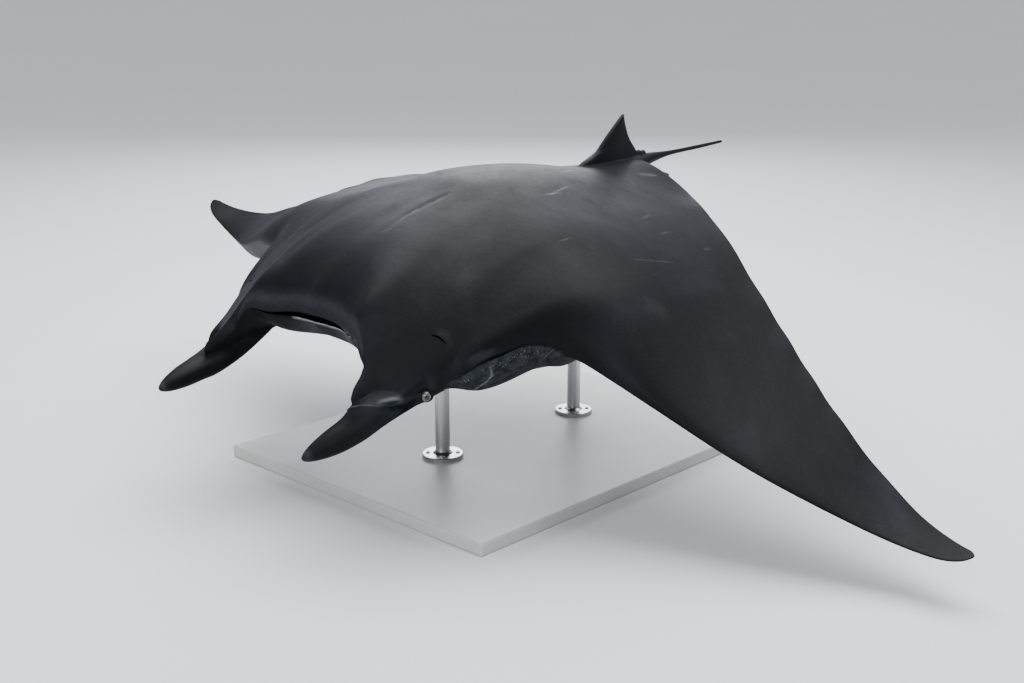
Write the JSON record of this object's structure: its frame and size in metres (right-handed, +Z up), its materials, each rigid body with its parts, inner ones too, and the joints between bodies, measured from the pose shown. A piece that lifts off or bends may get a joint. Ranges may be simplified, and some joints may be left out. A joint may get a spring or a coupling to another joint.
{
  "type": "giant manta ray, life-size still model on a display stand",
  "caption": "Life-size swimming manta ray, black form, wings drooped in mid stroke and head fins forward, held above the floor by a flat base and short rods.",
  "frame": {"origin": "centre of the underside of the stand's base", "axes": "+Z up, the ray's nose towards -Y, its left wing towards +X"},
  "size_m": [4.3559, 2.986, 1.3915],
  "materials": {
    "hide": "smooth wet-looking skin, nearly black all over, faint paler marks and scratches",
    "eye": "glossy dark eyeball",
    "stand_paint": "timber board painted light warm grey, satin",
    "stand_steel": "satin steel rod and flange"
  },
  "bodies": {
    "root": {"head": "hide", "lower_jaw": "hide", "trunk": "hide", "wing_left_inner": "hide", "wing_left_middle": "hide", "wing_left_tip": "hide", "wing_right_inner": "hide", "wing_right_middle": "hide", "wing_right_tip": "hide", "cephalic_fin_left": "hide", "cephalic_fin_right": "hide", "dorsal_fin": "hide", "pelvic_fin_left": "hide", "pelvic_fin_right": "hide", "tail_1": "hide", "tail_2": "hide", "tail_3": "hide", "tail_spine_boss": "hide", "eye_left": "eye", "eye_right": "eye", "stand_base": "stand_paint", "stand_flange_front": "stand_steel", "stand_flange_rear": "stand_steel", "stand_rod_front": "stand_steel", "stand_rod_rear": "stand_steel"}
  },
  "joints": []
}
